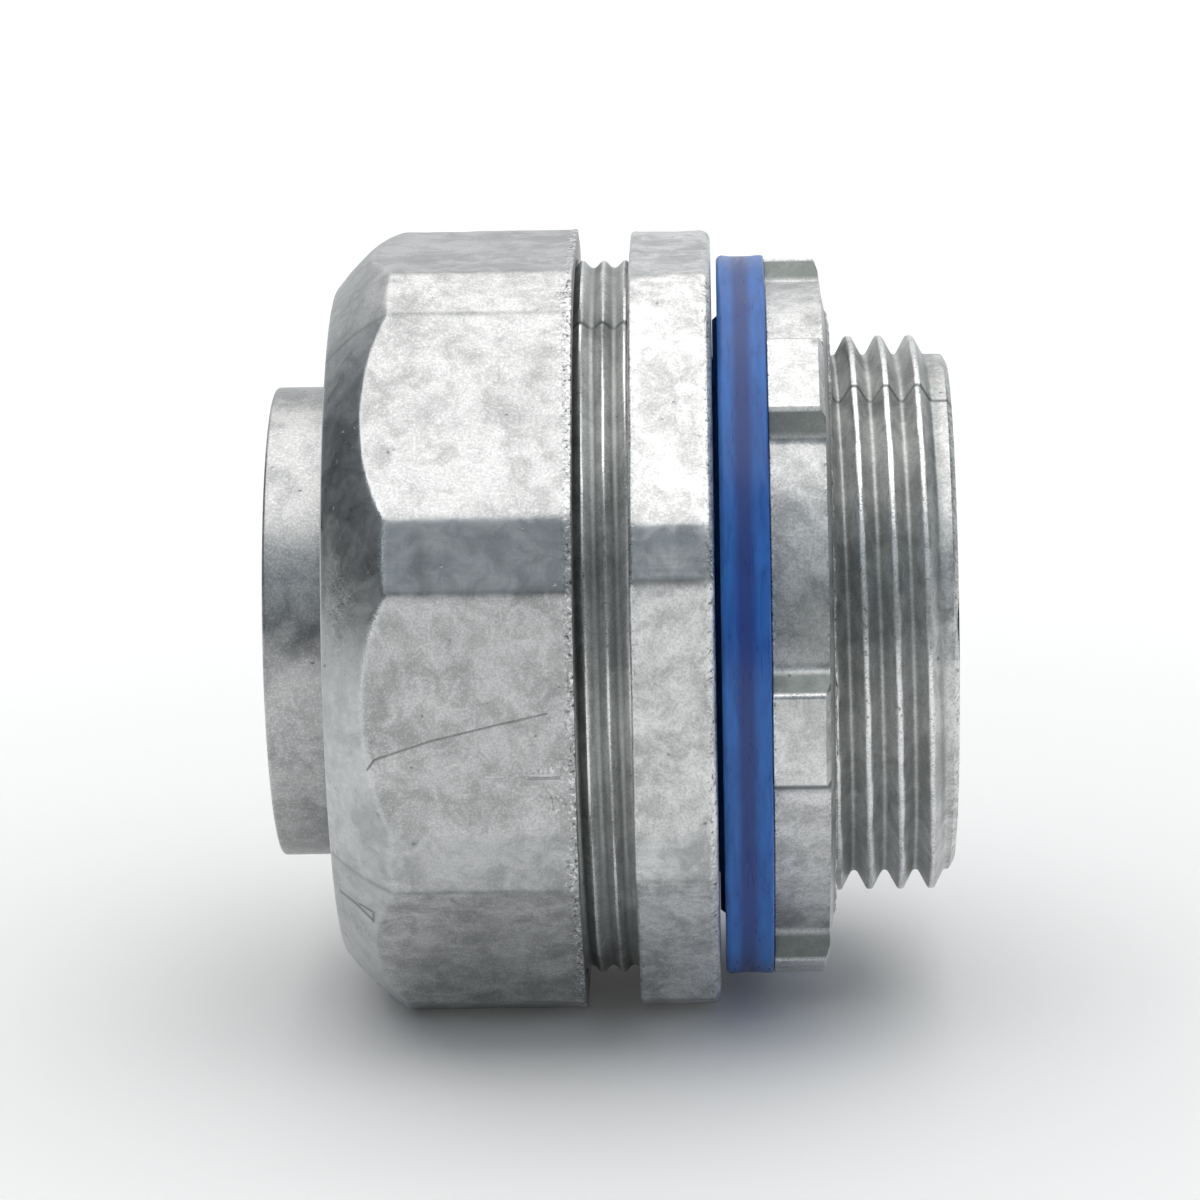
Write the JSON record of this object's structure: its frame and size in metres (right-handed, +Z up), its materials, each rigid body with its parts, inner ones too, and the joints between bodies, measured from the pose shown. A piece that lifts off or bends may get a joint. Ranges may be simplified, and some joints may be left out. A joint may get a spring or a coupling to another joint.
{
  "type": "liquid-tight conduit connector",
  "caption": "Straight liquid-tight connector that clamps flexible metal conduit in a gland and fixes it to an enclosure wall with a gasket and locknut.",
  "frame": {"origin": "on the connector's axis, in the wall-side face of the octagonal flange", "axes": "+X along the axis, out through the threaded hub; +Z up, with the connector lying on one flat of its octagons; +Y completes the right-handed set"},
  "size_m": [0.0505, 0.0566, 0.0566],
  "materials": {
    "zinc_body": "satin",
    "zinc_nut": "satin",
    "zinc_ferrule": "satin",
    "zinc_locknut": "satin",
    "nylon": "matte",
    "blue_plastic": "satin"
  },
  "bodies": {
    "body": {"connector_body": "zinc_body"},
    "ferrule": {"ferrule": "zinc_ferrule"},
    "compression_ring": {"compression_ring": "nylon"},
    "gland_nut": {"gland_nut": "zinc_nut"},
    "face_gasket": {"face_gasket": "blue_plastic"},
    "locknut": {"locknut": "zinc_locknut"}
  },
  "joints": [
    {"name": "ferrule_turn", "type": "hinge", "parent": "body", "child": "ferrule", "pos_m": [0, 0, 0], "axis": [1, 0, 0], "continuous": true},
    {"name": "ring_slide", "type": "slide", "parent": "body", "child": "compression_ring", "axis": [1, 0, 0], "range_m": [-0.0056, 0.0039]},
    {"name": "gland_nut_turn", "type": "hinge", "parent": "compression_ring", "child": "gland_nut", "pos_m": [0, 0, 0], "axis": [1, 0, 0], "range_deg": [-1260, 882]},
    {"name": "gasket_slide", "type": "slide", "parent": "body", "child": "face_gasket", "axis": [1, 0, 0], "range_m": [-0.00001, 0.0093]},
    {"name": "locknut_turn", "type": "hinge", "parent": "face_gasket", "child": "locknut", "pos_m": [0, 0, 0], "axis": [1, 0, 0], "range_deg": [0, 1440]}
  ],
  "couplings": [
    {"joint": "ring_slide", "follows": "gland_nut_turn", "m_per_rad": 0.00025266},
    {"joint": "gasket_slide", "follows": "locknut_turn", "m_per_rad": 0.0003675}
  ]
}
